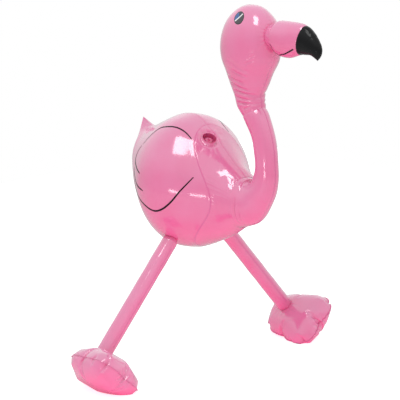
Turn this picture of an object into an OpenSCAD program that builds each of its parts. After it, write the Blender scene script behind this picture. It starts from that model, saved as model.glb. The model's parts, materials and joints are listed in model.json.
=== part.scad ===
// Inflatable flamingo: welded film panels, blown up into one standing figure.
// Millimetres. +X is the way the beak points, +Y is the bird's left, +Z is up, the floor is Z = 0.
// The origin is on the floor, in the middle of the figure's length and breadth.

/* [Film] */
// Thickness of the pink film
film = 0.3; // [0.2:0.05:0.5]
// Width of the flat weld that stands out along every seam
weld = 1.6; // [1:0.2:2.4]
// Running gap between a rounded tube end and the port that it sits in
port_gap = 0.35; // [0.3:0.05:0.5]

/* [Body] */
// How far the tail's tip stands behind the hips
tail_reach = 125; // [118:1:134]
// Half height of the body at its fattest place
body_half_h = 106; // [100:1:111]
// Half width of the body at its fattest place
body_half_w = 101; // [93:1:106]
// How far the side seams between wing and breast panels bow forwards
seam_bow = 1.8; // [1.2:0.1:2]

/* [Neck and head] */
// Radius of the rounded end where the neck leaves the body
neck_root_r = 35; // [33:0.5:36]
// Radius of the neck tube
neck_r = 17.8; // [17:0.1:19]
// Radius of the rounded end where the head leaves the neck
head_root_r = 18; // [17:0.1:18.4]
// Half length of the head, from back to front
head_half_l = 51; // [48:1:54]
// Half width of the head
head_half_w = 41; // [38:1:44]
// Radius of the rounded end where the beak leaves the head
beak_root_r = 19; // [17:0.5:20]
// Half height of the beak
beak_half_h = 27; // [25:0.5:29]
// Half width of the beak
beak_half_w = 21; // [19.5:0.5:23]

/* [Legs] */
// Radius of each leg tube
leg_r = 12.5; // [10:0.5:13.5]
// Distance between a leg's hip and ankle pivots
leg_len = 199; // [180:1:215]
// Angle between a leg and the vertical
splay = 42.2; // [38:0.1:46]
// How far down the side of the body a hip sits, as an angle below its middle
hip_angle = 54; // [49:0.5:59]
// How far the hips stand in front of the fattest place of the body
hip_ahead = 1; // [0:0.5:6]
// How far a pivot stands proud of the film that its port is cut in
pivot_proud = 3.5; // [3:0.1:4.5]

/* [Feet] */
// Half length of a foot
foot_half_l = 54; // [49:1:58]
// Half width of a foot across its middle
foot_half_w = 45; // [41:1:48]
// Half thickness of a blown-up foot
foot_half_t = 29; // [26:0.5:31]
// How much wider the toes are than the heel
toe_flare = 0.2; // [0.1:0.02:0.28]
// How far the corners of a foot fill out beyond an oval
foot_square = 0.11; // [0:0.01:0.16]
// Depth of the scallops between the toes
toe_scallop = 2; // [1:0.25:3]
// How far the middle of a foot lies in from its leg
foot_inset = 3; // [0:1:8]
// How far the middle of a foot lies in front of its leg
foot_ahead = 15; // [8:1:18]
// How much of the sole is pressed flat on the floor
sole_press = 7; // [4:0.5:7]

/* [Valve] */
// Radius of the cup that the valve sinks into
cup_r = 11.5; // [10.5:0.5:12.5]
// Depth of the cup
cup_depth = 9; // [8:0.5:11]
// Wall of the moulded valve pieces
cup_wall = 0.8; // [0.6:0.1:1]
// Outer radius of the valve stem
stem_r = 4.6; // [4.2:0.1:5]
// Length of the valve stem
stem_len = 18; // [16:1:20]
// Radius of the air way through the stem
bore_r = 3; // [2.6:0.1:3.2]
// Radius of the plug's cap
cap_r = 5.4; // [5.2:0.1:6]
// Length of the plug's shank
shank_len = 7; // [6:0.5:8]

/* [Hidden] */

pink = "#f084b4";
black = "#1c1c1e";
clear_pink = "#f5a6c8";

// Least width of a weld where a tube end must pass through its port
trimmed_weld = 0.05;
// Running gap of the sliding valve pieces
slide_gap = 0.15;

// Each row is one cross-section of the blown-up form: its centre's X, its centre's height above the
// body's centre, the way it faces (0 forwards, 90 up), its half height and its half width.
body_rows = [
    [-tail_reach, 84, 0, 1.6, 1.2],
    [-119, 61, 0, 20, 14],
    [-112, 43, 0, 34, 30],
    [-103, 29, 0, 46, 46],
    [-90, 18, 0, 60.5, 58],
    [-64, 9, 0, 82, 77],
    [-32, 2, 0, body_half_h - 3.5, body_half_w - 5],
    [0, 0, 0, body_half_h, body_half_w],
    [28, -4, 0, body_half_h - 12, body_half_w - 12],
    [55, -9.5, 0, body_half_h - 29, body_half_w - 34],
    [80, -14, 0, body_half_h - 46, body_half_w - 53],
    [98, -13, 0, 48, 42],
    [107, -12, 0, neck_root_r + port_gap + film, neck_root_r + port_gap + film]
];
seam_row = 7.8;
last_body_row = len(body_rows) - 1;

neck_pivot = [107, -12];
head_pivot = [126, 127];
head_lean = 118;
beak_pivot = [171.5, 248];

neck_rows = [
    ball_row(neck_pivot, 0, neck_root_r, -12),
    ball_row(neck_pivot, 0, neck_root_r, 0),
    ball_row(neck_pivot, 0, neck_root_r, 8),
    [124, -11, 18, neck_r + 17, neck_r + 13],
    [133.5, -2, 42, neck_r + 11, neck_r + 8],
    [146.5, 13, 66, neck_r + 4, neck_r + 4],
    [152, 31, 82, neck_r + 2, neck_r + 1],
    [153, 49, 90, neck_r, neck_r],
    [150.5, 71, 97, neck_r + 0.5, neck_r],
    [144.5, 95, 110, neck_r, neck_r],
    [133, 117, head_lean, neck_r + 1.5, neck_r + 1],
    [head_pivot[0], head_pivot[1], head_lean, head_root_r + port_gap + film, head_root_r + port_gap + film]
];

head_rows = [
    ball_row(head_pivot, head_lean, head_root_r, -6),
    ball_row(head_pivot, head_lean, head_root_r, 0),
    ball_row(head_pivot, head_lean, head_root_r, 5),
    [119, 140, 107, neck_r + 5, neck_r + 3],
    [116, 153, 96, neck_r + 6, neck_r + 5],
    [115.5, 170, 90, 31.5, 28],
    [115.5, 189, 88, 39, 34],
    [117, 207, 90, head_half_l - 3, head_half_w - 1.5],
    [117, 227, 90, head_half_l, head_half_w],
    [118.5, 247, 90, head_half_l - 1, head_half_w - 2.5],
    [119.5, 266, 90, head_half_l - 9, head_half_w - 9],
    [120, 280, 90, 29, 22],
    [120, 288, 90, 15, 12],
    [120, 290.5, 90, 1.2, 1]
];

beak_rows = [
    ball_row(beak_pivot, 0, beak_root_r, -14),
    ball_row(beak_pivot, 0, beak_root_r, -7),
    ball_row(beak_pivot, 0, beak_root_r, 0),
    [178, 247.5, 0, beak_half_h - 2.5, beak_half_w - 0.5],
    [188, 246, 0, beak_half_h, beak_half_w],
    [203, 246, -2, beak_half_h, beak_half_w - 1],
    [219, 248, -8, beak_half_h - 2.5, beak_half_w - 4],
    [233, 247, -18, beak_half_h - 6, beak_half_w - 7],
    [245, 240, -38, 16, 11],
    [252.5, 233.5, -60, 11.5, 8],
    [255.5, 227, -75, 6, 5],
    [256, 221, -80, 1.4, 1]
];
tip_row = 6.5;
last_beak_row = len(beak_rows) - 1;
beak_front = 264.2;

// The figure is built about the hips, and set so that its length is centred on the origin.
mid_x = (beak_front - tail_reach) / 2;

// Hips: each pivot stands just proud of the body's skin
hip_up = [cos(hip_angle) / body_half_w, sin(hip_angle) / body_half_h];
hip_out = hip_up / norm(hip_up);
hip_y = body_half_w * cos(hip_angle) + pivot_proud * hip_out[0];
hip_drop = body_half_h * sin(hip_angle) + pivot_proud * hip_out[1];

// Feet: the pivot stands just proud of the top panel, and the sole is pressed flat on the floor
foot_port_t = foot_height(norm([foot_ahead / foot_half_l, foot_inset / foot_half_w]));
foot_drop = foot_port_t + pivot_proud;
foot_reach = max([for (q = [180:5:360]) for (s = [0:0.05:1]) -low_point(q, s)]);
foot_z = foot_reach - sole_press;
ankle_z = foot_z + foot_drop * cos(splay) + foot_inset * sin(splay);
ankle_y = hip_y + leg_len * sin(splay);
foot_x = hip_ahead + foot_ahead - mid_x;
foot_y = ankle_y + foot_drop * sin(splay) - foot_inset * cos(splay);
hip_z = ankle_z + leg_len * cos(splay);
body_z = hip_z + hip_drop;

// Valve: where it sits on the right breast panel, and how its axis leans
valve_row = 8.52;
valve_angle = 79.5;
valve_lean = 31;
valve_roll = 9;
stem_out = 4;
stem_lip = 1.2;
cap_t = 1.2;
flap_t = 0.5;
flap_inset = 0.4;
grip_r = 2.6;
grip_t = 1.2;
cup_lip = 0.5;
// How far a cutting shape runs past the face that it cuts
past = 1;

// One ring of a ball of radius r about a pivot, at a distance s along the way that it faces
function ball_row(pivot, lean, r, s) = [
    pivot[0] + s * cos(lean), pivot[1] + s * sin(lean), lean, sqrt(r * r - s * s), sqrt(r * r - s * s)
];

// A smooth curve through the rows, at a row number with a fraction
function row_at(rows, t) =
    let (
        i = min(max(floor(t), 0), len(rows) - 2),
        u = t - i,
        a = rows[max(i - 1, 0)],
        b = rows[i],
        c = rows[i + 1],
        d = rows[min(i + 2, len(rows) - 1)]
    )
    b + u * ((c - a) + u * ((2 * a - 5 * b + 4 * c - d) + u * (3 * (b - c) + d - a))) / 2;

// A point of the skin, moved in by a depth, at a row number and an angle round from the side
function skin(rows, t, angle, depth) =
    let (r = row_at(rows, t), up = (r[3] - depth) * sin(angle))
    [r[0] - up * sin(r[2]), (r[4] - depth) * cos(angle), r[1] + up * cos(r[2])];

function on_seam(rows, t, side, out, y) =
    let (r = row_at(rows, t), up = side * (r[3] + out))
    [r[0] - up * sin(r[2]), y, r[1] + up * cos(r[2])];

// Points round one cross-section of a half skin: the outer face, then the inner face back again
function half_ring(rows, ts, steps, weld_w) =
    let (last = 180 / steps)
    concat(
        [on_seam(rows, ts[0], -1, weld_w, film)],
        [on_seam(rows, ts[0], -1, 0, film)],
        [for (k = [1:steps - 1]) skin(rows, ts[k], -90 + k * last, 0)],
        [on_seam(rows, ts[steps], 1, 0, film)],
        [on_seam(rows, ts[steps], 1, weld_w, film)],
        [on_seam(rows, ts[steps], 1, weld_w, 0)],
        [on_seam(rows, ts[steps], 1, -film, 0)],
        [for (k = [steps - 1:-1:1]) skin(rows, ts[k], -90 + k * last, film)],
        [on_seam(rows, ts[0], -1, -film, 0)],
        [on_seam(rows, ts[0], -1, weld_w, 0)]
    );

// The left half of a tube of film between two row numbers; bow_a and bow_b push its ends forwards
// at the side, and weld_from is the row number from which the seam's weld stands out
// Each four-sided patch is cut across the same corners outside and inside, so the film is even.
module film_half(rows, from, to, rings, steps, bow_a = 0, bow_b = 0, weld_from = -1) {
    n = 2 * (steps + 3);
    side = [for (k = [0:steps]) pow(cos(-90 + k * 180 / steps), 2)];
    points = [
        for (i = [0:rings])
            let (
                u = i / rings,
                t = from + (to - from) * u,
                w = t < weld_from ? trimmed_weld : weld,
                ts = [for (k = [0:steps]) t + side[k] * (bow_a * (1 - u) + bow_b * u)]
            )
            each half_ring(rows, ts, steps, w)
    ];
    walls = [
        for (i = [0:rings - 1]) for (j = [0:n - 1])
            let (a = i * n + j, b = i * n + (j + 1) % n, c = b + n, d = a + n)
            each (j < n / 2 ? [[a, c, b], [a, d, c]] : [[a, d, b], [d, c, b]])
    ];
    ends = [
        for (j = [0:n / 2 - 2])
            let (a = j, b = j + 1, c = n - 2 - j, d = n - 1 - j, z = rings * n)
            each [[a, b, d], [b, c, d], [z + a, z + d, z + b], [z + b, z + d, z + c]]
    ];
    translate([-mid_x, 0, body_z])
        polyhedron(points, concat(walls, ends), convexity = 6);
}

module left_or_right(side) {
    if (side > 0) children();
    else mirror([0, 1, 0]) children();
}

// Legs and ankles, in the leg's own frame: the hip at the origin, the ankle down the Z axis
module at_hip(side)
    left_or_right(side) translate([hip_ahead - mid_x, hip_y, hip_z]) rotate([splay, 0, 0]) children();

// Body panels
module hip_ball()
    translate([hip_ahead - mid_x, hip_y, hip_z]) sphere(r = leg_r + port_gap, $fn = 48);

module wing_panel(side) color(pink)
    left_or_right(side) difference() {
        film_half(body_rows, 0, seam_row, 20, 20, 0, seam_bow);
        hip_ball();
    }

valve_at = skin(body_rows, valve_row, valve_angle, 0);

module at_valve()
    translate([valve_at[0] - mid_x, -valve_at[1], valve_at[2] + body_z])
        rotate([0, valve_lean, 0]) rotate([valve_roll, 0, 0]) children();

module breast_half() film_half(body_rows, seam_row, last_body_row, 12, 20, seam_bow, 0);

module left_breast_panel() color(pink) breast_half();

module right_breast_panel() color(pink) difference() {
    mirror([0, 1, 0]) breast_half();
    at_valve() translate([0, 0, -cup_depth]) cylinder(r = cup_r + port_gap, h = 3 * cup_depth, $fn = 48);
}

// Neck, head and beak panels
module neck_panel(side) color(pink)
    left_or_right(side) film_half(neck_rows, 0, len(neck_rows) - 1, 30, 12, weld_from = 3.3);

module head_panel(side) color(pink)
    left_or_right(side) difference() {
        film_half(head_rows, 0, len(head_rows) - 1, 26, 16, weld_from = 2.6);
        translate([beak_pivot[0] - mid_x, 0, beak_pivot[1] + body_z])
            sphere(r = beak_root_r + port_gap, $fn = 48);
    }

module beak_panel(side) color(pink)
    left_or_right(side) film_half(beak_rows, 0, tip_row, 13, 14, weld_from = 2.6);

module beak_tip(side) color(black)
    left_or_right(side) film_half(beak_rows, tip_row, last_beak_row, 10, 14);

// Legs: a tube with a rounded end in the body and another in the foot, in two welded halves
module leg_half(outwards) {
    rotate([0, 0, outwards ? 0 : 180])
        rotate_extrude(angle = 180, $fn = 64)
            difference() {
                capsule_outline(leg_r);
                capsule_outline(leg_r - film);
            }
    for (side = [-1, 1])
        translate([side > 0 ? leg_r - film : -leg_r - weld, outwards ? 0 : -film, -leg_len + leg_r])
            cube([weld + film, film, leg_len - 2 * leg_r]);
}

module capsule_outline(r) {
    intersection() {
        union() {
            circle(r = r, $fn = 64);
            translate([0, -leg_len]) circle(r = r, $fn = 64);
            translate([-r, -leg_len]) square([2 * r, leg_len]);
        }
        translate([0, -leg_len - r]) square([r, leg_len + 2 * r]);
    }
}

module leg_panel(side, outwards) color(pink) at_hip(side) leg_half(outwards);

// Feet: two flat foot shapes welded round their edge and blown up into a pillow.
// q goes round the foot from the toes, and s goes from 0 at the middle to 1 at the edge.
function foot_edge(q) =
    let (
        toes = max(cos(q), 0),
        x = foot_half_l * cos(q),
        y = foot_half_w * sin(q) * (1 + toe_flare * cos(q)),
        full = 1 + foot_square * pow(sin(2 * q), 2)
    )
    [x, y] * full * (1 - toe_scallop * toes * (1 - cos(3 * q)) / 2 / foot_half_l);

function foot_height(s) = foot_half_t * pow(max(1 - pow(s, 2.4), 0), 0.6);

// How high a point of the sole lies above the middle of the foot, before it is pressed flat
function low_point(q, s) = s * foot_edge(q)[1] * sin(splay) - foot_height(s) * cos(splay);

// A point in the foot's own frame, pushed up where it would lie under the floor
function pressed(p, above) =
    let (floor_z = (above - foot_z - p[1] * sin(splay)) / cos(splay))
    [p[0], p[1], max(p[2], floor_z)];

function foot_point(q, s, up, depth) =
    let (edge = foot_edge(q), z = up * max(foot_height(s) - depth, 0))
    pressed([edge[0] * s, edge[1] * s, z], depth);

function foot_rim(q, out, z) =
    let (edge = foot_edge(q))
    pressed([edge[0] + out * cos(q), edge[1] + out * sin(q), z], z + film);

module foot_half(up) {
    spokes = 32;
    shells = [1, 0.985, 0.95, 0.88, 0.78, 0.65, 0.5, 0.34, 0.17];
    count = len(shells);
    outer = [for (s = shells) for (i = [0:spokes - 1]) let (q = i * 360 / spokes)
        s == 1 ? foot_rim(q, 0, up * film) : foot_point(q, s, up, 0)];
    inner = [for (s = shells) for (i = [0:spokes - 1]) let (q = i * 360 / spokes)
        s == 1 ? foot_rim(q, -film, 0) : foot_point(q, s - film / foot_half_l, up, film)];
    tip = [for (z = [up * film, 0]) for (i = [0:spokes - 1]) foot_rim(i * 360 / spokes, weld, z)];
    in0 = count * spokes;
    tip0 = 2 * in0;
    pole0 = tip0 + 2 * spokes;
    bands = concat(
        [for (k = [0:count - 2]) [k * spokes, (k + 1) * spokes]],
        [[tip0, 0]],
        [for (k = [0:count - 2]) [in0 + (k + 1) * spokes, in0 + k * spokes]],
        [[in0, tip0 + spokes], [tip0 + spokes, tip0]]
    );
    faces = concat(
        [for (b = bands) for (i = [0:spokes - 1]) let (j = (i + 1) % spokes)
            each [[b[0] + i, b[1] + i, b[1] + j], [b[0] + i, b[1] + j, b[0] + j]]],
        [for (i = [0:spokes - 1]) let (j = (i + 1) % spokes, k = (count - 1) * spokes)
            each [[k + i, pole0, k + j], [in0 + k + j, pole0 + 1, in0 + k + i]]]
    );
    points = concat(outer, inner, tip, [foot_point(0, 0, up, 0), foot_point(0, 0, up, film)]);
    polyhedron(points, up > 0 ? faces : [for (f = faces) [f[2], f[1], f[0]]], convexity = 4);
}

module at_foot(side)
    left_or_right(side) translate([foot_x, foot_y, foot_z]) rotate([splay, 0, 0]) children();

module foot_top_panel(side) color(pink) at_foot(side)
    difference() {
        foot_half(1);
        translate([-foot_ahead, foot_inset, foot_drop]) sphere(r = leg_r + port_gap, $fn = 48);
    }

module foot_sole_panel(side) color(pink) at_foot(side) foot_half(-1);

// Valve: a soft cup welded in the breast, with the stem sunk into it and closed by its plug
module valve_cup() color(clear_pink) at_valve() rotate_extrude($fn = 48) difference() {
    translate([0, -cup_depth]) square([cup_r, cup_depth + cup_lip]);
    translate([-past, -cup_depth + cup_wall]) square([cup_r - cup_wall + past, cup_depth + past]);
    translate([-past, -cup_depth - past]) square([stem_r + slide_gap + past, cup_depth]);
}

stem_top = -cup_depth + stem_out;

module valve_stem() color(clear_pink) at_valve() translate([0, 0, stem_top - stem_len])
    difference() {
        union() {
            cylinder(r = stem_r, h = stem_len, $fn = 48);
            translate([0, 0, stem_len - cup_wall]) cylinder(r = stem_r + stem_lip, h = cup_wall, $fn = 48);
        }
        translate([0, 0, -past]) cylinder(r = bore_r, h = stem_len + 2 * past, $fn = 48);
    }

module valve_flap() color(clear_pink) at_valve()
    translate([0, 0, stem_top - stem_len - flap_t]) cylinder(r = stem_r - flap_inset, h = flap_t, $fn = 48);

module valve_plug() color(clear_pink) at_valve() translate([0, 0, stem_top + slide_gap]) {
    cylinder(r = cap_r, h = cap_t, $fn = 48);
    translate([0, 0, -shank_len]) cylinder(r = bore_r - slide_gap, h = shank_len + film, $fn = 48);
    translate([0, grip_t / 2, cap_t - film]) intersection() {
        rotate([90, 0, 0]) cylinder(r = grip_r, h = grip_t, $fn = 32);
        translate([-grip_r, -grip_t, 0]) cube([2 * grip_r, grip_t, grip_r + film]);
    }
}

wing_panel(1);  // left_wing_panel
wing_panel(-1);  // right_wing_panel
left_breast_panel();
right_breast_panel();
neck_panel(1);  // left_neck_panel
neck_panel(-1);  // right_neck_panel
head_panel(1);  // left_head_panel
head_panel(-1);  // right_head_panel
beak_panel(1);  // left_beak_panel
beak_panel(-1);  // right_beak_panel
beak_tip(1);  // left_beak_tip
beak_tip(-1);  // right_beak_tip
leg_panel(1, true);  // left_leg_outer_panel
leg_panel(1, false);  // left_leg_inner_panel
leg_panel(-1, true);  // right_leg_outer_panel
leg_panel(-1, false);  // right_leg_inner_panel
foot_top_panel(1);  // left_foot_top_panel
foot_sole_panel(1);  // left_foot_sole_panel
foot_top_panel(-1);  // right_foot_top_panel
foot_sole_panel(-1);  // right_foot_sole_panel
valve_cup();
valve_stem();
valve_flap();
valve_plug();
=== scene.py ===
import json
from math import atan2, cos, degrees, exp, floor, pi, radians, sin, sqrt

import bmesh
import bpy
from mathutils import Matrix, Vector, noise
from mathutils.bvhtree import BVHTree


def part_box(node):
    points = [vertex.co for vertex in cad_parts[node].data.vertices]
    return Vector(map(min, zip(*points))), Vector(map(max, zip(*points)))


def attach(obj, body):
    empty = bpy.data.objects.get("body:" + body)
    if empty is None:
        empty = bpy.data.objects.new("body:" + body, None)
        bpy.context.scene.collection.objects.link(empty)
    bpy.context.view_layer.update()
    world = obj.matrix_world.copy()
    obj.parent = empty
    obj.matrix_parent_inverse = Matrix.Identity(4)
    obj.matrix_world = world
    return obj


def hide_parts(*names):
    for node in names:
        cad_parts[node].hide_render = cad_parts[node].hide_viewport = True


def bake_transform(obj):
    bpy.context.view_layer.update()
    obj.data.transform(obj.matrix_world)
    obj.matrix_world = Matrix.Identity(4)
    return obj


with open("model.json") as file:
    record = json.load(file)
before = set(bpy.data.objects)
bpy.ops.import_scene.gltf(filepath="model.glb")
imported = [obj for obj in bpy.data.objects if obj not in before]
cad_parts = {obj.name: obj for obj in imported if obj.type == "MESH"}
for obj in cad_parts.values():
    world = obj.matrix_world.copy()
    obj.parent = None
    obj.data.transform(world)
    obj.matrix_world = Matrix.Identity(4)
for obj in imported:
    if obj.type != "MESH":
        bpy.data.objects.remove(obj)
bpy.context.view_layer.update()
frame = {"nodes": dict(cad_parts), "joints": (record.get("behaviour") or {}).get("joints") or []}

# ---------------------------------------------------------------------------
# The body film: two wing panels behind and two breast panels in front, cut from thin glossy
# vinyl sheet, welded edge to edge and blown up. Sizes are in millimetres about the body's middle,
# one row for each cross-section: x, z, the way it faces, half height and half width.

MM = 0.001
body_rows = [
    (-125, 84.5, 0, 0, 0),
    (-125, 84, 0, 1.6, 1.2),
    (-119, 61, 0, 20, 14),
    (-112, 43, 0, 34, 30),
    (-103, 29, 0, 46, 46),
    (-90, 18, 0, 60.5, 58),
    (-64, 9, 0, 82, 77),
    (-32, 2, 0, 102.5, 96),
    (0, 0, 0, 106, 101),
    (28, -4, 0, 94, 89),
    (55, -9.5, 0, 77, 67),
    (80, -14, 0, 60, 48),
    (98, -14.5, 0, 47, 42),
    (107, -16, 0, 39.5, 37.5),
]
CROSS_SEAM = 8.8
SEAM_BOW = 2.2
BODY_END = len(body_rows) - 1

joints = {joint["name"]: joint for joint in frame["joints"]}
neck_hinge = Vector(joints["neck_bend"]["pos_m"])
body_middle = neck_hinge + Vector((-107, 0, 12)) * MM


class Form:
    """A blown-up tube of film with a smooth skin through its rows."""

    def __init__(self, rows):
        self.rows = rows
        self.lengths = [0.0]
        steps = (len(rows) - 1) * 20
        for k in range(steps):
            a, b = k / 20, (k + 1) / 20
            sides = [(self.point(b, turn) - self.point(a, turn)).length for turn in (-pi / 2, 0, pi / 2)]
            self.lengths.append(self.lengths[-1] + sum(sides) / 3 / MM)

    def row(self, t):
        i = min(max(int(t), 0), len(self.rows) - 2)
        u = t - i
        before = self.rows[max(i - 1, 0)]
        after = self.rows[min(i + 2, len(self.rows) - 1)]
        return [
            q + u * ((r - p) + u * ((2 * p - 5 * q + 4 * r - s) + u * (3 * (q - r) + s - p))) / 2
            for p, q, r, s in zip(before, self.rows[i], self.rows[i + 1], after)
        ]

    def point(self, t, turn, out=0.0):
        """A point of the skin: turn goes round the tube from its left side over its top."""
        x, z, lean, tall, wide = self.row(t)
        up = (tall + out) * sin(turn)
        side = (wide + out) * cos(turn)
        lean = radians(lean)
        return body_middle + Vector((x - up * sin(lean), side, z + up * cos(lean))) * MM

    def length_at(self, t):
        """Millimetres along the form from its first row."""
        k = min(max(t * 20, 0), len(self.lengths) - 1.001)
        i = int(k)
        return self.lengths[i] + (k - i) * (self.lengths[i + 1] - self.lengths[i])

    def row_where(self, measure, target):
        """The row number at which a measure that grows along the form reaches a value."""
        low, high = 0.0, len(self.rows) - 1.0
        for _ in range(24):
            middle = (low + high) / 2
            low, high = (middle, high) if measure(middle) < target else (low, middle)
        return (low + high) / 2

    def seam_gap(self, t, turn):
        """Millimetres round the skin to the nearer of the top seam and the bottom seam."""
        x, z, lean, tall, wide = self.row(t)
        return abs((turn + pi) % pi - pi / 2) * (tall + wide) / 2


body = Form(body_rows)


def seam_line(turn):
    """The row at which the wing panels meet the breast panels, further forward at the sides."""
    return CROSS_SEAM + SEAM_BOW * cos(turn) ** 2


def chance(i, seed):
    """A fixed number from 0 to 1 for each whole number."""
    return 0.5 + 0.5 * sin(12.9898 * i + 78.233 * seed + 37.7 * sin(4.1 * i + seed))


def puckers(along, away, pitch, depth, reach, seed):
    """The tucks that a weld gathers: round humps with sharp valleys, which die out away from it."""
    away = max(away, 0)
    drift = 0.6 * noise.noise(Vector((along / (3.1 * pitch), away / (6 * pitch), seed)))
    u = along / pitch + drift + 0.8 * sin(along / (4.7 * pitch) + seed)
    i = floor(u)
    size = 0.25 + 0.75 * chance(i, seed)
    length = reach * (0.35 + 1.0 * chance(i, seed + 5))
    rise = 1 - exp(-away / 1.2)
    return depth * size * (abs(sin(pi * u)) - 0.35) * rise * exp(-((away / length) ** 1.3))


def groove(away, depth, width):
    return -depth * exp(-((away / width) ** 2))


def slow_drift(place, scale, seed):
    """The unevenness of hand-welded film, from -1 to 1."""
    return noise.noise(place / (scale * MM) + Vector((seed, 2 * seed, 0)))


def wrap(shell, form, span, along, around, relief, held=None, panel=0):
    """Adds a grid of film to a shell, wrapped round a form between two rows."""
    panel_of = shell.faces.layers.int.get("panel") or shell.faces.layers.int.new("panel")
    row_of = shell.verts.layers.float.get("row") or shell.verts.layers.float.new("row")
    weights = shell.verts.layers.deform.verify()
    grid = bmesh.ops.create_grid(shell, x_segments=along, y_segments=around, size=0.5)
    faces = set()
    for vert in grid["verts"]:
        faces.update(vert.link_faces)
        share = vert.co.x + 0.5
        turn = (vert.co.y + 0.5) * 2 * pi - pi / 2
        first, last = (form.length_at(end) for end in span(turn))
        t = form.row_where(form.length_at, first + (last - first) * share)
        vert.co = form.point(t, turn, relief(t, turn))
        vert[row_of] = t
        if held and held(t, turn, share, vert.co):
            vert[weights][0] = 1.0
    for face in faces:
        face[panel_of] = panel


def object_of(shell, name):
    """A shell made an object with smooth faces."""
    mesh = bpy.data.meshes.new(name)
    shell.to_mesh(mesh)
    shell.free()
    mesh.polygons.foreach_set("use_smooth", [True] * len(mesh.polygons))
    piece = bpy.data.objects.new(name, mesh)
    bpy.context.scene.collection.objects.link(piece)
    return piece


def film_piece(shell, name):
    """A shell of film made an object, with its edges merged and its faces outwards."""
    bmesh.ops.remove_doubles(shell, verts=shell.verts, dist=0.00002)
    bmesh.ops.recalc_face_normals(shell, faces=shell.faces)
    return object_of(shell, name)


# The air is let in at ten times the real size, where the cloth solver is steady.
SIM_SCALE = 10


def blow_up(piece, pressure, slack, stiffness, frames):
    """Air pressure in the film as a cloth simulation. Points in the group held stay on their weld."""
    piece.vertex_groups.new(name="held")
    piece.data.transform(Matrix.Scale(SIM_SCALE, 4))
    bpy.context.view_layer.objects.active = piece
    cloth = piece.modifiers.new("air", "CLOTH")
    film = cloth.settings
    film.quality = 5
    film.mass = 0.3
    film.tension_stiffness = 80
    film.compression_stiffness = 80
    film.shear_stiffness = 40
    film.bending_stiffness = stiffness
    film.tension_damping = 10
    film.compression_damping = 10
    film.shear_damping = 10
    film.air_damping = 2
    film.shrink_min = -slack
    film.use_pressure = True
    film.uniform_pressure_force = pressure
    film.vertex_group_mass = "held"
    film.effector_weights.gravity = 0
    cloth.collision_settings.use_collision = False
    cloth.point_cache.frame_start = 1
    cloth.point_cache.frame_end = frames
    for step in range(1, frames + 1):
        bpy.context.scene.frame_set(step)
    smooth = piece.modifiers.new("smooth", "SUBSURF")
    smooth.levels = 1
    smooth.render_levels = 1
    blown = piece.evaluated_get(bpy.context.evaluated_depsgraph_get())
    mesh = bpy.data.meshes.new_from_object(blown)
    piece.modifiers.clear()
    piece.data = mesh
    mesh.transform(Matrix.Scale(1 / SIM_SCALE, 4))
    piece.vertex_groups.clear()
    bpy.context.scene.frame_set(1)


def part_of(piece, name, panel):
    """The faces of one panel as an object of their own."""
    shell = bmesh.new()
    shell.from_mesh(piece.data)
    panel_of = shell.faces.layers.int["panel"]
    others = [face for face in shell.faces if face[panel_of] != panel]
    bmesh.ops.delete(shell, geom=others, context="FACES")
    return film_piece(shell, name)


hips = {side: Vector(joints[side + "_hip"]["pos_m"]) for side in ("left", "right")}
ankles = {side: Vector(joints[side + "_ankle"]["pos_m"]) for side in ("left", "right")}
LEG_R = 12.5
CUP_R = 11.5
CUP_LIP_FROM_MIDDLE = 4.25
valve_way = Vector(joints["valve_pull"]["axis"]).normalized()
valve_place = sum(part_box("valve_cup"), Vector()) / 2 + valve_way * CUP_LIP_FROM_MIDDLE * MM
TAIL_LENGTH = 24
NECK_PORT_R = 35


def off_valve(place):
    """How far a point of the film lies from the valve's axis, and its direction round that axis."""
    arm = place - valve_place
    arm = arm - valve_way * arm.dot(valve_way)
    return arm.length / MM, atan2(arm.y, arm.x)


def body_start(t, turn):
    """The film before the air stretches it, drawn in between its welds."""
    weld = abs(body.length_at(t) - body.length_at(seam_line(turn)))
    near = min(weld, body.seam_gap(t, turn), body.length_at(BODY_END) - body.length_at(t))
    size = min(1, max(body.length_at(t) - TAIL_LENGTH, 0) / 30)
    return -2.0 * size * (1 - exp(-near / 8)) + 0.15 * size * slow_drift(body.point(t, turn), 7, 3)


def on_wing_weld(t, turn, share, place):
    seam = share in (0.0, 1.0) or abs(cos(turn)) < 0.001
    tail = body.length_at(t) < TAIL_LENGTH
    at_hip = min((place - hip).length for hip in hips.values()) < (LEG_R + 3) * MM
    return seam or tail or at_hip


def on_breast_weld(t, turn, share, place):
    at_valve = off_valve(place)[0] < CUP_R + 3 and place.z > body_middle.z
    return at_valve or on_wing_weld(t, turn, share, place)


shell = bmesh.new()
wrap(shell, body, lambda turn: (0, seam_line(turn)), 92, 150, body_start, on_wing_weld, 0)
wrap(shell, body, lambda turn: (seam_line(turn), BODY_END), 46, 150, body_start, on_breast_weld, 1)
body_film = film_piece(shell, "body_film")
blow_up(body_film, pressure=6, slack=0, stiffness=2, frames=22)


def hip_tucks(place):
    """Short tucks that point at each leg's weld."""
    total = 0.0
    for side, hip in hips.items():
        away = (place - hip).length / MM - LEG_R
        if away < 40:
            leg = (ankles[side] - hip).normalized()
            across = (place - hip) - leg * (place - hip).dot(leg)
            total += puckers(atan2(across.x, across.z) * 16, away, 7, 1.3, 14, 3 if side == "left" else 8)
            total -= 1.2 * exp(-max(away, 0) / 5)
    return total


def valve_tucks(place):
    """The crater round the sunken valve, with the creases that run out of it."""
    away, angle = off_valve(place)
    away -= CUP_R
    if away > 50 or place.z < body_middle.z:
        return 0.0
    total = puckers(angle * 14, away, 8, 1.3, 17, 17)
    return total - 2.2 * exp(-max(away, 0) / 5) + 0.8 * exp(-(((away - 7) / 4) ** 2))


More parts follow.
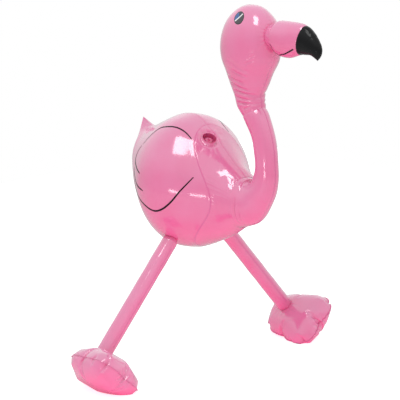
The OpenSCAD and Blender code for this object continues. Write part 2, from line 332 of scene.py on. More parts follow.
def wing_relief(t, turn, place):
    size = min(1.0, body.length_at(t) / 40)
    along = body.length_at(t)
    away = body.length_at(seam_line(turn)) - along
    gap = body.seam_gap(t, turn)
    relief = size * puckers(along, gap, 8, 0.45, 10, 11 if turn > 0 else 12) + groove(gap, 0.45 * size, 1.6)
    relief += puckers(turn * 90, away, 9, 0.2, 8, 21) + groove(away, 0.45, 1.6)
    return relief + hip_tucks(place) + size * 0.3 * slow_drift(place, 45, 1)


def breast_relief(t, turn, place):
    along = body.length_at(t)
    away = along - body.length_at(seam_line(turn))
    left = body.length_at(BODY_END) - along
    gap = body.seam_gap(t, turn)
    relief = puckers(along, gap, 7, 0.5, 12, 13 if turn > 0 else 14) + groove(gap, 0.45, 1.6)
    fan = exp(-(((degrees(atan2(abs(sin(turn)) * sin(turn), abs(cos(turn)))) - 12) / 24) ** 2))
    relief += puckers(turn * 85, away, 5.5, 0.25 + 0.65 * fan, 14 + 22 * fan, 23) + groove(away, 0.4, 1.6)
    relief += (0.2 + 0.8 * max(sin(turn), 0)) * puckers(turn * NECK_PORT_R, left, 9, 0.9, 18, 31)
    return relief + hip_tucks(place) + valve_tucks(place) + 0.3 * slow_drift(place, 40, 2)


def emboss(piece, form, relief):
    """Pushes a film in and out along its normals."""
    mesh = piece.data
    rows = mesh.attributes["row"].data
    places = []
    for vert in mesh.vertices:
        t = rows[vert.index].value
        x, z, lean, tall, wide = form.row(t)
        arm = (vert.co - body_middle) / MM
        turn = atan2((arm.z - z) / max(tall, 1), arm.y / max(wide, 1))
        places.append(vert.co + vert.normal * relief(t, turn, vert.co) * MM)
    for vert, place in zip(mesh.vertices, places):
        vert.co = place


def open_valve(piece):
    """A round hole for the valve's cup, with its edge drawn to a true circle under the cup's lip."""
    shell = bmesh.new()
    shell.from_mesh(piece.data)
    inside = [
        face
        for face in shell.faces
        if off_valve(face.calc_center_median())[0] < CUP_R and face.calc_center_median().z > body_middle.z
    ]
    bmesh.ops.delete(shell, geom=inside, context="FACES")
    for vert in shell.verts:
        away, angle = off_valve(vert.co)
        if vert.is_boundary and away < CUP_R + 3 and vert.co.z > body_middle.z:
            rise = valve_way * (vert.co - valve_place).dot(valve_way)
            arm = vert.co - valve_place - rise
            vert.co = valve_place + arm.normalized() * (CUP_R - 0.2) * MM
    shell.to_mesh(piece.data)
    shell.free()


class Wire:
    """A number that runs through a material's nodes, so that sums on it read as plain Python."""

    def __init__(self, finish, socket):
        self.finish = finish
        self.socket = socket

    def sum(self, operation, first, second=0.0):
        made = self.finish.node("ShaderNodeMath", {"operation": operation}, {0: first, 1: second})
        return Wire(self.finish, made.outputs[0])

    def __add__(self, other):
        return self.sum("ADD", self, other)

    def __radd__(self, other):
        return self.sum("ADD", other, self)

    def __sub__(self, other):
        return self.sum("SUBTRACT", self, other)

    def __mul__(self, other):
        return self.sum("MULTIPLY", self, other)

    def __pow__(self, other):
        return self.sum("POWER", self, other)

    def __lt__(self, other):
        return self.sum("LESS_THAN", self, other)

    def __gt__(self, other):
        return self.sum("GREATER_THAN", self, other)


class Finish:
    """A material and its nodes."""

    def __init__(self, name):
        self.material = bpy.data.materials.new(name)
        self.material.use_nodes = True
        self.tree = self.material.node_tree
        self.tree.nodes.clear()

    def node(self, kind, settings=None, sockets=None):
        made = self.tree.nodes.new(kind)
        for name, value in (settings or {}).items():
            setattr(made, name, value)
        for name, value in (sockets or {}).items():
            socket = made.inputs[name]
            if isinstance(value, Wire):
                self.tree.links.new(value.socket, socket)
            elif isinstance(value, bpy.types.NodeSocket):
                self.tree.links.new(value, socket)
            else:
                socket.default_value = value
        return made

    def noise(self, scale, detail=2.0):
        """Noise on the piece's own coordinates, with a grain of so many millimetres."""
        place = self.node("ShaderNodeTexCoord").outputs["Object"]
        grain = {"Vector": place, "Scale": 1 / (scale * MM), "Detail": detail}
        return Wire(self, self.node("ShaderNodeTexNoise", {}, grain).outputs[0])

    def mix(self, factor, first, second):
        made = self.node("ShaderNodeMix", {"data_type": "RGBA"}, {0: factor, 6: first, 7: second})
        return made.outputs[2]

    def surface(self, **sockets):
        named = {name.replace("_", " "): value for name, value in sockets.items()}
        shader = self.node("ShaderNodeBsdfPrincipled", {}, named)
        self.node("ShaderNodeOutputMaterial", {}, {"Surface": shader.outputs[0]})
        return shader


def film_finish(name, colour, deep_tone_and_painted_shade, roughness=0.12, ripple=0.05, gloss=0.9):
    """Soft glossy vinyl sheet. Its colour holds painted shade for the light that comes through it: paler
    where it faces up, deeper where it faces down.
    """
    finish = Finish(name)
    cloud = finish.noise(38, 3.0)
    grain = finish.noise(1.4)
    height = cloud * 0.4 + grain * 0.6
    bump = finish.node("ShaderNodeBump", {}, {"Strength": ripple, "Distance": 0.001, "Height": height})
    # Painted shade: the base colour is mixed deeper where the film faces down and paler where it faces up.
    facing_for_painted_shade = finish.node("ShaderNodeTexCoord").outputs["Normal"]
    up = Wire(finish, finish.node("ShaderNodeSeparateXYZ", {}, {0: facing_for_painted_shade}).outputs[2])
    finish.surface(
        Base_Color=finish.mix(cloud * 0.5 + up * -0.45 + 0.3, colour, deep_tone_and_painted_shade),
        Roughness=roughness + cloud * 0.06,
        Normal=bump.outputs[0],
        Coat_Weight=gloss,
        Coat_IOR=1.65,
        Coat_Roughness=0.05,
        Specular_IOR_Level=gloss,
    )
    return finish.material


# The first colour of each film shows where it faces up. The second is painted shade where it faces down, and
# also its random deeper tone.
PINK = (0.86, 0.27, 0.50, 1)
PINK_DEEP_AND_PAINTED_SHADE = (0.92, 0.095, 0.30, 1)
pink_film = film_finish("pink film", PINK, PINK_DEEP_AND_PAINTED_SHADE)
WELD_PINK = (0.80, 0.10, 0.34, 1)
WELD_DEEP_AND_PAINTED_SHADE = (0.76, 0.07, 0.29, 1)
weld_film = film_finish("welded film", WELD_PINK, WELD_DEEP_AND_PAINTED_SHADE, roughness=0.3, ripple=0.2)


def show(piece, material):
    piece.data.materials.clear()
    piece.data.materials.append(material)


wing_film = part_of(body_film, "wing_film", 0)
breast_film = part_of(body_film, "breast_film", 1)
bpy.data.objects.remove(body_film)
emboss(wing_film, body, wing_relief)
emboss(breast_film, body, breast_relief)
open_valve(breast_film)
for piece, nodes in (
    (wing_film, ("left_wing_panel", "right_wing_panel")),
    (breast_film, ("left_breast_panel", "right_breast_panel")),
):
    show(piece, pink_film)
    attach(piece, "torso")
    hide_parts(*nodes)

# ---------------------------------------------------------------------------
# The prints and the weld lines lie on the film. Each is a ribbon that follows the film it is
# printed on or pressed into, and it moves with that film.


def skin_of(*pieces):
    """The surface of one or more films, to lay things on."""
    points, faces = [], []
    for piece in pieces:
        first = len(points)
        points += [vert.co.copy() for vert in piece.data.vertices]
        faces += [[first + i for i in face.vertices] for face in piece.data.polygons]
    return BVHTree.FromPolygons(points, faces)


def curve_through(points, step):
    """Points about one step apart on a smooth curve through the given points."""
    route = []
    for i in range(len(points) - 1):
        p, q, r, s = points[max(i - 1, 0)], points[i], points[i + 1], points[min(i + 2, len(points) - 1)]
        count = max(int((r - q).length / (step * MM)), 1)
        for k in range(count):
            u = k / count
            route.append(
                q + u * ((r - p) + u * ((2 * p - 5 * q + 4 * r - s) + u * (3 * (q - r) + s - p))) / 2
            )
    return route + [points[-1]]


def ribbon(name, skin, route, width, lift, crown=0.0):
    """A strip laid along a route on a skin. Its width is a function of the share of its length."""
    shell = bmesh.new()
    across = 5
    rings = []
    for k, place in enumerate(route):
        ahead = (route[min(k + 1, len(route) - 1)] - route[max(k - 1, 0)]).normalized()
        spot, normal, _, _ = skin.find_nearest(place)
        aside = normal.cross(ahead).normalized()
        ring = []
        for i in range(across):
            share = 2 * i / (across - 1) - 1
            edge = spot + aside * share * width(k / (len(route) - 1)) / 2 * MM
            foot, up, _, _ = skin.find_nearest(edge)
            ring.append(shell.verts.new(foot + up * (lift + crown * (1 - share * share)) * MM))
        rings.append(ring)
    for one, other in zip(rings, rings[1:]):
        for i in range(across - 1):
            shell.faces.new((one[i], other[i], other[i + 1], one[i + 1]))
    bmesh.ops.recalc_face_normals(shell, faces=shell.faces)
    piece = film_piece(shell, name)
    first = piece.data.polygons[0]
    if first.normal.dot(skin.find_nearest(first.center)[1]) < 0:
        piece.data.flip_normals()
    return piece


WELD_LIFT = 0.04


def weld_line(name, form, skin, spots, width=1.7):
    """A weld seen from outside: a low flat band through spots given as row and turn."""
    route = curve_through([form.point(t, turn) for t, turn in spots], 1.4)
    piece = ribbon(name, skin, route, lambda share: width, WELD_LIFT, 0.22)
    show(piece, weld_film)
    return piece


def brush(widest):
    """The width of a drawn line, which tapers to both ends."""
    return lambda share: widest * (0.45 + 0.55 * sin(pi * share) ** 0.7)


PRINT_LIFT = 0.12
ink = Finish("black print")
ink.surface(Base_Color=(0.018, 0.004, 0.010, 1), Roughness=0.3, Specular_IOR_Level=0.2)

body_skin = skin_of(wing_film, breast_film)
wing_lines = {
    "wing_top": [(30, 62.5), (18, 64), (4, 63), (-13, 60.7), (-31, 57.8), (-42, 50.4), (-57, 38)],
    "wing_fold": [(-61, 36), (-68, 27), (-68, 18), (-56, 13.5), (-33, 11)],
    "wing_feather": [(-68, 9), (-63, 4), (-56, 1), (-45, -1.4), (-20, -2.3)],
    "wing_bottom": [
        (-62, -2), (-56, -7), (-46, -10.5), (-34, -12.6), (-21.6, -14.4), (-4.5, -17.4),
        (7.4, -17.5), (19.6, -14), (32, -6), (43, 7), (55, 26),
    ],
}
for side, mirror in (("left", 1), ("right", -1)):
    for name, spots in wing_lines.items():
        route = []
        for x, turn in spots:
            t = body.row_where(lambda row: body.row(row)[0], x)
            place = body.point(t, radians(turn))
            arm = place - body_middle
            route.append(body_middle + Vector((arm.x, arm.y * mirror, arm.z)))
        route = curve_through(route, 1.0)
        print_piece = ribbon(side + "_" + name + "_print", body_skin, route, brush(3.0), PRINT_LIFT)
        show(print_piece, ink.material)
        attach(print_piece, "torso")

for name, turn in (("back_weld", pi / 2), ("belly_weld", -pi / 2)):
    spots = [(1 + (BODY_END - 1) * k / 12, turn) for k in range(13)]
    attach(weld_line(name, body, body_skin, spots), "torso")
around = [radians(15 * k - 90) for k in range(25)]
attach(weld_line("wing_weld", body, body_skin, [(seam_line(turn), turn) for turn in around]), "torso")

# ---------------------------------------------------------------------------
# The neck film: a curved tube in two halves, welded to the breast below and to the head above.
# Its back edge leans over the root.

neck_rows = [
    (95, -17, 0, 44, 40),
    (107, -16, 0, 39.5, 37.5),
    (115, -14.5, 6, 37, 34.5),
    (124, -11.5, 18, 34, 31),
    (133.5, -2, 42, 28, 25.8),
    (146.5, 13, 66, 21.8, 21.8),
    (152, 31, 82, 19.8, 18.8),
    (153, 49, 90, 17.8, 17.8),
    (150.5, 71, 97, 18.3, 17.8),
    (144.5, 95, 110, 17.8, 17.8),
    (133, 117, 118, 19.3, 18.8),
    (126, 127, 118, 18.7, 18.7),
    (122, 134.5, 118, 18.7, 18.7),
]
NECK_END = len(neck_rows) - 2
neck = Form(neck_rows)


def fold(place, start, end, depth, width):
    """A crease from one spot to another, each given as x and z, with the film swelling beside it."""
    here = Vector(((place.x - body_middle.x) / MM, (place.z - body_middle.z) / MM))
    start, end = Vector(start), Vector(end)
    way = end - start
    share = (here - start).dot(way) / way.length_squared
    if not 0 < share < 1:
        return 0.0
    away = (here - start - way * share).length / width
    return depth * sin(pi * share) ** 0.7 * (0.45 * exp(-((away - 1.9) ** 2)) - exp(-(away**2)))


def neck_relief(t, turn):
    place = neck.point(t, turn)
    along = neck.length_at(t)
    start = along - neck.length_at(1)
    left = neck.length_at(NECK_END) - along
    gap = neck.seam_gap(t, turn)
    relief = puckers(along, gap, 6, 0.3, 7, 41 if turn > 0 else 42) + groove(gap, 0.4, 1.4)
    relief += (0.4 + 0.6 * max(sin(turn), 0)) * puckers(turn * NECK_PORT_R, start, 9, 0.7, 14, 31)
    relief += puckers(turn * 18, left, 7, 0.5, 10, 43) + groove(left, 0.4, 1.4)
    relief += fold(place, (115, -44), (117, -2), 1.6, 1.6)
    relief += fold(place, (121, -42), (124, -18), 1.1, 1.4)
    return relief + 0.3 * slow_drift(place, 30, 4)


shell = bmesh.new()
wrap(shell, neck, lambda turn: (1, NECK_END), 230, 130, neck_relief)
neck_film = film_piece(shell, "neck_film")
show(neck_film, pink_film)
neck_skin = skin_of(neck_film)
neck_spots = [1 + (NECK_END - 1) * k / 20 for k in range(21)]
for piece in (
    neck_film,
    weld_line("nape_weld", neck, neck_skin, [(t, pi / 2) for t in neck_spots]),
    weld_line("throat_weld", neck, neck_skin, [(t, -pi / 2) for t in neck_spots]),
):
    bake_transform(piece)
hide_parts("left_neck_panel", "right_neck_panel")

# ---------------------------------------------------------------------------
# The head film: two cheeks welded round the crown and down the throat, narrow where it leaves
# the neck. The film folds there, so its sides are full of cross creases.

head_rows = [
    (128.8, 121.7, 118, 17, 17),
    (126, 127, 118, 18.2, 18.2),
    (119, 140, 107, 22.8, 20.8),
    (116, 153, 96, 23.8, 22.8),
    (115.5, 170, 90, 31.5, 28),
    (115.5, 189, 88, 39, 34),
    (117, 207, 90, 48, 39.5),
    (117, 227, 90, 51, 41),
    (118.5, 247, 90, 50, 38.5),
    (119.5, 266, 90, 42, 32),
    (120, 280, 90, 29, 22),
    (120, 288, 90, 15, 12),
    (120, 290.7, 90, 0, 0),
]
HEAD_END = len(head_rows) - 1
head = Form(head_rows)
beak_hinge = Vector(joints["beak_tilt"]["pos_m"])
BEAK_PORT_R = 19
head_folds = [
    ((92, 185), (132, 174), 1.7, 2.2),
    ((97, 174), (136, 163), 1.5, 2.0),
    ((101, 163), (139, 156), 1.8, 2.0),
    ((103, 153), (138, 147), 1.4, 1.8),
    ((108, 143), (140, 143), 1.9, 1.9),
    ((122, 133), (136, 141), 1.2, 1.5),
    ((104, 198), (138, 184), 1.1, 2.4),
    ((108, 212), (143, 192), 0.9, 2.6),
    ((143, 212), (154, 221), 0.9, 1.6),
    ((138, 205), (152, 214), 1.0, 1.8),
]


def head_relief(t, turn):
    place = head.point(t, turn)
    start = head.length_at(t) - head.length_at(1)
    left = head.length_at(HEAD_END) - head.length_at(t)
    top = min(1.0, left / 25)
    gap = head.seam_gap(t, turn)
    relief = top * puckers(start, gap, 7, 0.8, 11, 51 if turn > 0 else 52) + groove(gap, 0.4 * top, 1.5)
    relief += puckers(turn * 18, start, 7, 0.7, 14, 55)
    away = (place - beak_hinge).length / MM - BEAK_PORT_R
    if away < 40:
        angle = atan2(place.y - beak_hinge.y, place.z - beak_hinge.z)
        relief += puckers(angle * 20, away, 7, 1.0, 13, 57) - 1.2 * exp(-max(away, 0) / 4)
    for start_spot, end_spot, depth, width in head_folds:
        relief += fold(place, start_spot, end_spot, depth, width)
    return relief + 0.5 * top * slow_drift(place, 34, 6)


shell = bmesh.new()
wrap(shell, head, lambda turn: (1, HEAD_END), 240, 230, head_relief)
head_film = film_piece(shell, "head_film")
show(head_film, pink_film)
head_skin = skin_of(head_film)
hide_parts("left_head_panel", "right_head_panel")

# ---------------------------------------------------------------------------
# The eyes are printed on the cheeks: a dark ring round a blue and a dark part, with a white
# gleam between them. Each is one patch with its pattern on its own two coordinates.

eye_print = Finish("eye print")
across = eye_print.node("ShaderNodeSeparateXYZ", {}, {0: eye_print.node("ShaderNodeTexCoord").outputs["UV"]})
long_way = Wire(eye_print, across.outputs[0]) * 2 - 1
short_way = Wire(eye_print, across.outputs[1]) * 2 - 1
radius = (long_way * long_way + short_way * short_way) ** 0.5
bend = long_way + short_way * 0.3 + short_way * short_way * 0.12
lower = eye_print.mix(bend > 0.13, (0.9, 0.9, 0.9, 1), (0.055, 0.045, 0.058, 1))
upper = eye_print.mix(bend < -0.09, lower, (0.008, 0.10, 0.34, 1))
pupil = eye_print.mix((bend < -0.09) * (short_way > 0.1), upper, (0.010, 0.02, 0.05, 1))
eye_print.surface(
    Base_Color=eye_print.mix(radius > 0.87, pupil, (0.012, 0.010, 0.012, 1)),
    Roughness=0.2,
    Coat_Weight=0.6,
    Coat_Roughness=0.05,
)


EYE_X, EYE_Y, EYE_Z = 119.5, 27, 273
EYE_HALF_LONG, EYE_HALF_SHORT = 12, 9.2


def eye_patch(name, mirror):
    middle = body_middle + Vector((EYE_X, EYE_Y * mirror, EYE_Z)) * MM
    spot, out, _, _ = head_skin.find_nearest(middle)
    down = Vector((0.49, 0, -0.87))
    long_axis = (down - out * down.dot(out)).normalized()
    short_axis = Vector((1, 0, 0.4))
    short_axis = (short_axis - out * short_axis.dot(out) - long_axis * short_axis.dot(long_axis)).normalized()
    shell = bmesh.new()
    uv = shell.loops.layers.uv.new("print")
    bmesh.ops.create_grid(shell, x_segments=40, y_segments=32, size=1)
    share_of = {}
    for vert in shell.verts:
        x, y = vert.co.x, vert.co.y
        u, v = x * sqrt(1 - y * y / 2), y * sqrt(1 - x * x / 2)
        share_of[vert] = (u / 2 + 0.5, v / 2 + 0.5)
        place = spot + (long_axis * u * EYE_HALF_LONG + short_axis * v * EYE_HALF_SHORT) * MM
        foot, up, _, _ = head_skin.find_nearest(place)
        vert.co = foot + up * PRINT_LIFT * MM
    for face in shell.faces:
        for loop in face.loops:
            loop[uv].uv = share_of[loop.vert]
    piece = object_of(shell, name)
    if piece.data.polygons[0].normal.dot(out) < 0:
        piece.data.flip_normals()
    show(piece, eye_print.material)
    return piece


head_spots = [1 + (HEAD_END - 1.3) * k / 20 for k in range(21)]
for piece in (
    head_film,
    eye_patch("left_eye_print", 1),
    eye_patch("right_eye_print", -1),
    weld_line("crown_weld", head, head_skin, [(t, pi / 2) for t in head_spots]),
    weld_line("chin_weld", head, head_skin, [(t, -pi / 2) for t in head_spots if t < 6]),
):
    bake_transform(piece)

# ---------------------------------------------------------------------------
# The beak: a short tube of the same film, welded into a round hole in the face, with the mouth
# printed on both sides. Its hooked tip is a separate pair of black panels welded on the end.

beak_rows = [
    (157.5, 248, 0, 12.8, 12.8),
    (164.5, 248, 0, 17.7, 17.7),
    (171.5, 248, 0, 19.6, 19.2),
    (178, 247.5, 0, 24.5, 20.5),
    (188, 246, 0, 27, 21),
    (203, 246, -2, 27, 20),
    (219, 248, -8, 24.5, 17),
    (233, 247, -18, 21, 14),
    (245, 240, -38, 16, 11),
    (252.5, 233.5, -60, 11.5, 8),
    (255.5, 227, -75, 6, 5),
    (256, 221, -80, 0, 0),
]
BEAK_END = len(beak_rows) - 1
TIP_SEAM = 6.5
beak = Form(beak_rows)


def beak_relief(t, turn):
    place = beak.point(t, turn)
    along = beak.length_at(t)
    start = along - beak.length_at(1.6)
    left = beak.length_at(TIP_SEAM) - along
    gap = beak.seam_gap(t, turn)
    relief = puckers(along, gap, 5, 0.45, 7, 61 if turn > 0 else 62) + groove(gap, 0.35, 1.3)
    relief += puckers(turn * 20, start, 7, 0.9, 12, 63)
    relief += puckers(turn * 20, left, 6, 0.5, 9, 64) + groove(left, 0.6, 1.4)
    return relief + 0.3 * slow_drift(place, 25, 7)


def tip_relief(t, turn):
    place = beak.point(t, turn)
    start = beak.length_at(t) - beak.length_at(TIP_SEAM)
    end = min(1.0, (beak.length_at(BEAK_END) - beak.length_at(t)) / 12)
    gap = beak.seam_gap(t, turn)
    relief = end * puckers(start, gap, 5, 0.7, 8, 65 if turn > 0 else 66)
    relief += end * puckers(turn * 18, start, 6, 0.6, 9, 67) + groove(start, 0.6, 1.4)
    return relief + 0.3 * end * slow_drift(place, 20, 8)


# The second black is painted shade where the film faces down, and also its random deeper tone.
BLACK = (0.006, 0.006, 0.007, 1)
BLACK_DEEP_AND_PAINTED_SHADE = (0.008, 0.008, 0.009, 1)
black_film = film_finish("black film", BLACK, BLACK_DEEP_AND_PAINTED_SHADE, roughness=0.2, gloss=0.12)
shell = bmesh.new()
wrap(shell, beak, lambda turn: (0, TIP_SEAM), 130, 150, beak_relief)
beak_film = film_piece(shell, "beak_film")
shell = bmesh.new()
wrap(shell, beak, lambda turn: (TIP_SEAM, BEAK_END), 90, 130, tip_relief)
tip_film = film_piece(shell, "beak_tip_film")
show(beak_film, pink_film)
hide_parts("left_beak_panel", "right_beak_panel")
show(tip_film, black_film)
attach(tip_film, "beak")
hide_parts("left_beak_tip", "right_beak_tip")

beak_skin = skin_of(beak_film)
mouth = [(168, 226.5), (181, 225.5), (196, 225), (204, 227.5), (212, 231.5), (219.5, 235.5)]
prints = []
for side, mirror in (("left", 1), ("right", -1)):
    route = []
    for x, z in mouth:
        outside = body_middle + Vector((x, 60 * mirror, z)) * MM
        route.append(beak_skin.ray_cast(outside, Vector((0, -mirror, 0)))[0] or outside)
    route = curve_through(route, 0.8)
    line = ribbon(side + "_mouth_print", beak_skin, route, lambda share: 0.9 + 1.6 * share, PRINT_LIFT)
    show(line, ink.material)
    prints.append(line)
beak_spots = [2 + (TIP_SEAM - 2) * k / 10 for k in range(11)]
for piece in (
    beak_film,
    prints[0],
    prints[1],
    weld_line("bill_top_weld", beak, beak_skin, [(t, pi / 2) for t in beak_spots], 1.3),
    weld_line("bill_low_weld", beak, beak_skin, [(t, -pi / 2) for t in beak_spots], 1.3),
):
    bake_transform(piece)

# ---------------------------------------------------------------------------
# The legs: straight tubes in two halves, closed at both ends, with their upper end welded in
# the underside of the body and their lower end in the top of a foot.


def leg_mesh(side):
    hip, ankle = hips[side], ankles[side]
    length = (ankle - hip).length / MM
    down = (ankle - hip).normalized()
    ahead = Vector((1, 0, 0))
    across = down.cross(ahead).normalized()
    tube = bmesh.new()
    bmesh.ops.create_grid(tube, x_segments=260, y_segments=80, size=0.5)
    reach = length + 2 * LEG_R
    for vert in tube.verts:
        along = (vert.co.x + 0.5) * reach - LEG_R
        turn = (vert.co.y + 0.5) * 2 * pi
        over = max(-along, along - length, 0)
        radius = sqrt(max(LEG_R**2 - over**2, 0))
        if over == 0:
            gap = min(turn, abs(turn - pi), 2 * pi - turn) * LEG_R
            radius += puckers(along, gap, 6, 0.2, 5, 71) + groove(gap, 0.3, 1.2)
            radius += puckers(turn * LEG_R, along - 9, 6, 0.6, 14, 73)
            radius += puckers(turn * LEG_R, length - 9 - along, 6, 0.6, 14, 74)
            radius += 0.3 * noise.noise(Vector((along / 22, 0, 5 if side == "left" else 9)))
        vert.co = hip + (down * along + (ahead * cos(turn) + across * sin(turn)) * radius) * MM
    return film_piece(tube, side + "_leg_film")


for side in ("left", "right"):
    leg = leg_mesh(side)
    show(leg, pink_film)
    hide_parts(side + "_leg_outer_panel", side + "_leg_inner_panel")
    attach(leg, side + "_leg")
    hip, ankle = hips[side], ankles[side]
    down = (ankle - hip).normalized()
    leg_skin = skin_of(leg)
    for name, ahead in (("front", 1), ("back", -1)):
        edge = Vector((LEG_R * ahead, 0, 0)) * MM
        route = curve_through([hip + down * 9 * MM + edge, ankle - down * 9 * MM + edge], 1.6)
        line = ribbon(side + "_leg_" + name + "_weld", leg_skin, route, lambda share: 1.5, WELD_LIFT, 0.2)
        show(line, weld_film)
        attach(line, side + "_leg")

# ---------------------------------------------------------------------------
# The feet: two flat foot shapes welded round their rim and blown up, so that the rim draws in
# and the film buckles into deep tucks. The sole is pressed flat where the figure stands on it.

FOOT_L, FOOT_W, FOOT_T = 54, 46, 29
TOE_FLARE, FOOT_SQUARE, TOE_SCALLOP = 0.2, 0.11, 2
CUT_SIZE = 1.27
FLANGE = 1.6
ANKLE_IN_FOOT = Vector((-15, 3, 31.63))


def foot_edge(q):
    toes = max(cos(q), 0)
    full = 1 + FOOT_SQUARE * sin(2 * q) ** 2
    size = full * (1 - TOE_SCALLOP * toes * (1 - cos(3 * q)) / 2 / FOOT_L)
    return Vector((FOOT_L * cos(q) * size, FOOT_W * sin(q) * (1 + TOE_FLARE * cos(q)) * size, 0))


def foot_shell():
    shell = bmesh.new()
    rim_of = shell.verts.layers.float.new("rim")
    shell.verts.layers.deform.verify()
    for up in (1, -1):
        for vert in bmesh.ops.create_grid(shell, x_segments=56, y_segments=56, size=1)["verts"]:
            x, y = vert.co.x, vert.co.y
            u, v = x * sqrt(1 - y * y / 2), y * sqrt(1 - x * x / 2)
            s = min(sqrt(u * u + v * v), 1)
            cut = foot_edge(atan2(v, u)) * s * MM
            vert.co = cut * CUT_SIZE
            vert.co.z = up * ((4 * (1 - s * s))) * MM
            vert[rim_of] = 1 if s > 0.9999 else 0
    return shell


foot_film = film_piece(foot_shell(), "foot_film")
blow_up(foot_film, pressure=12, slack=0, stiffness=0.1, frames=45)
for axis, size in enumerate((FOOT_L, 1.04 * FOOT_W, FOOT_T)):
    spread = [vert.co[axis] for vert in foot_film.data.vertices]
    middle, half = (max(spread) + min(spread)) / 2, (max(spread) - min(spread)) / 2
    for vert in foot_film.data.vertices:
        vert.co[axis] = (vert.co[axis] - middle) * size * MM / half


def stand(place, side):
    """A point of a foot's own film, turned to its leg and pressed up where it meets the floor."""
    leg = ankles[side] - hips[side]
    splay = atan2(abs(leg.y), -leg.z)
    local = place - ANKLE_IN_FOOT * MM
    y = local.y * cos(splay) - local.z * sin(splay)
    z = local.y * sin(splay) + local.z * cos(splay) + ankles[side].z
    mirror = 1 if side == "left" else -1
    return Vector((local.x + ankles[side].x, ankles[side].y + y * mirror, max(z, 0.25 * MM)))


rim_flags = foot_film.data.attributes["rim"].data
rims = [vert.co.copy() for vert in foot_film.data.vertices if rim_flags[vert.index].value > 0.99]
rims.sort(key=lambda place: atan2(place.y, place.x))
for side in ("left", "right"):
    foot = foot_film.copy()
    foot.data = foot_film.data.copy()
    foot.name = side + "_foot_film"
    bpy.context.scene.collection.objects.link(foot)
    for vert in foot.data.vertices:
        weld = (vert.co - ANKLE_IN_FOOT * MM).length / MM - LEG_R
        angle = atan2(vert.co.y / MM - ANKLE_IN_FOOT.y, vert.co.x / MM - ANKLE_IN_FOOT.x)
        tucks = puckers(angle * 15, weld, 7, 1.2, 13, 81) - 0.8 * exp(-max(weld, 0) / 5)
        vert.co = stand(vert.co + Vector((0, 0, tucks * MM)), side)
    if side == "right":
        foot.data.flip_normals()
    rim = bmesh.new()
    rings = []
    for place in rims:
        out = Vector((place.x, place.y, 0)).normalized()
        near, far = place - out * 0.8 * MM, place + out * FLANGE * MM
        thick = Vector((0, 0, 0.25)) * MM
        corners = (near + thick, far + thick, far - thick, near - thick)
        rings.append([rim.verts.new(stand(corner, side)) for corner in corners])
    for one, other in zip(rings, rings[1:] + rings[:1]):
        for i in range(4):
            rim.faces.new((one[i], one[(i + 1) % 4], other[(i + 1) % 4], other[i]))
    flange = film_piece(rim, side + "_foot_weld")
    show(foot, pink_film)
    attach(foot, side + "_foot")
    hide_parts(side + "_foot_top_panel", side + "_foot_sole_panel")
    show(flange, weld_film)
    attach(flange, side + "_foot")
bpy.data.objects.remove(foot_film)

# ---------------------------------------------------------------------------
# The valve: moulded in thicker, clearer vinyl than the film, coloured a deeper pink with a faint haze. Its
# cup is welded into the right breast panel, and the stem and plug sit in it, pushed down.

vinyl = Finish("clear vinyl")
haze = vinyl.noise(3, 2.0)
vinyl.surface(
    Base_Color=vinyl.mix(haze, (0.80, 0.14, 0.33, 1), (0.72, 0.09, 0.26, 1)),
    Roughness=0.22 + haze * 0.08,
    Coat_Weight=0.5,
    Coat_Roughness=0.08,
    Subsurface_Weight=0.2,
    Subsurface_Scale=0.004,
)
for name in ("valve_cup", "valve_stem", "valve_flap", "valve_plug"):
    show(frame["nodes"][name], vinyl.material)

# ---------------------------------------------------------------------------
# The floor and the light: a pale floor that throws light back up, window-shaped soft lights high
# and low in front, and a white ceiling that shows in the gloss.

shell = bmesh.new()
bmesh.ops.create_grid(shell, x_segments=1, y_segments=1, size=1.3)
floor_piece = object_of(shell, "floor")
pale = Finish("pale floor")
paths = pale.node("ShaderNodeLightPath")
seen = Wire(pale, paths.outputs["Is Camera Ray"])
bounced = Wire(pale, paths.outputs["Is Diffuse Ray"])
pale.surface(
    Base_Color=(0.85, 0.85, 0.85, 1),
    Roughness=0.9,
    Specular_IOR_Level=0.0,
    Emission_Color=(1, 1, 1, 1),
    Emission_Strength=seen * 0.7 + bounced * 0.7,
)
floor_piece.data.materials.append(pale.material)

# The backdrop's light rises this way: up, and a little back and to the left.
BACKDROP_WAY = (-0.10, 0.20, 0.97)
world = bpy.data.worlds.new("studio")
bpy.context.scene.world = world
world.use_nodes = True
tree = world.node_tree
tree.nodes.clear()
path = tree.nodes.new("ShaderNodeLightPath")
coordinates = tree.nodes.new("ShaderNodeTexCoord")
behind = tree.nodes.new("ShaderNodeVectorMath")
behind.operation = "DOT_PRODUCT"
behind.inputs[1].default_value = BACKDROP_WAY
tree.links.new(coordinates.outputs["Generated"], behind.inputs[0])
backdrop = tree.nodes.new("ShaderNodeMapRange")
backdrop.interpolation_type = "SMOOTHSTEP"
backdrop.inputs["From Min"].default_value = -0.15
backdrop.inputs["From Max"].default_value = 0.5
backdrop.inputs["To Min"].default_value = 0.55
tree.links.new(behind.outputs["Value"], backdrop.inputs["Value"])
shown = backdrop.outputs[0]
for kind, level in (("Is Diffuse Ray", 0.66), ("Is Camera Ray", 1.0)):
    chosen = tree.nodes.new("ShaderNodeMix")
    chosen.inputs["B"].default_value = level
    tree.links.new(path.outputs[kind], chosen.inputs["Factor"])
    tree.links.new(shown, chosen.inputs["A"])
    shown = chosen.outputs["Result"]
background = tree.nodes.new("ShaderNodeBackground")
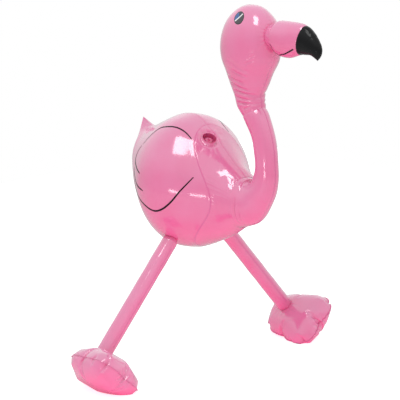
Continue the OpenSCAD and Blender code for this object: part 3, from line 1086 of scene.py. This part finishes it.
background.inputs["Color"].default_value = (1, 1, 1, 1)
tree.links.new(shown, background.inputs["Strength"])
output = tree.nodes.new("ShaderNodeOutputWorld")
tree.links.new(background.outputs[0], output.inputs[0])

middle = Vector((0, 0, 0.29))


def soft_light(name, azimuth, height, distance, width, tall, power):
    lamp = bpy.data.lights.new(name, "AREA")
    lamp.shape = "RECTANGLE"
    lamp.size = width
    lamp.size_y = tall
    lamp.energy = power
    way = Vector((sin(azimuth) * cos(height), -cos(azimuth) * cos(height), sin(height)))
    holder = bpy.data.objects.new(name, lamp)
    holder.location = middle + way * distance
    holder.rotation_euler = way.to_track_quat("Z", "Y").to_euler()
    bpy.context.scene.collection.objects.link(holder)


soft_light("window_light", radians(34), radians(64), 1.6, 0.4, 0.8, 5)
soft_light("low_light", radians(24), radians(-6), 1.3, 0.3, 0.06, 0.3)

# ---------------------------------------------------------------------------
# The camera stands low and to the bird's right front.

CAMERA_WAY = Vector((0.7068, -0.6707, 0.2250)).normalized()
CAMERA_RIGHT = Vector((0, 0, 1)).cross(CAMERA_WAY).normalized()
CAMERA_UP = CAMERA_WAY.cross(CAMERA_RIGHT)
lens = bpy.data.cameras.new("camera")
lens.lens = 192.1
lens.sensor_width = 36
camera = bpy.data.objects.new("camera", lens)
CAMERA_DISTANCE, CAMERA_LEFT, CAMERA_DOWN = 3.3, 0.0436, 0.0160
place = middle + CAMERA_WAY * CAMERA_DISTANCE - CAMERA_RIGHT * CAMERA_LEFT - CAMERA_UP * CAMERA_DOWN
camera.matrix_world = Matrix.Translation(place) @ Matrix(
    (
        (CAMERA_RIGHT.x, CAMERA_UP.x, CAMERA_WAY.x, 0),
        (CAMERA_RIGHT.y, CAMERA_UP.y, CAMERA_WAY.y, 0),
        (CAMERA_RIGHT.z, CAMERA_UP.z, CAMERA_WAY.z, 0),
        (0, 0, 0, 1),
    )
)
bpy.context.scene.collection.objects.link(camera)
bpy.context.scene.camera = camera
bpy.context.scene.view_settings.view_transform = "Standard"
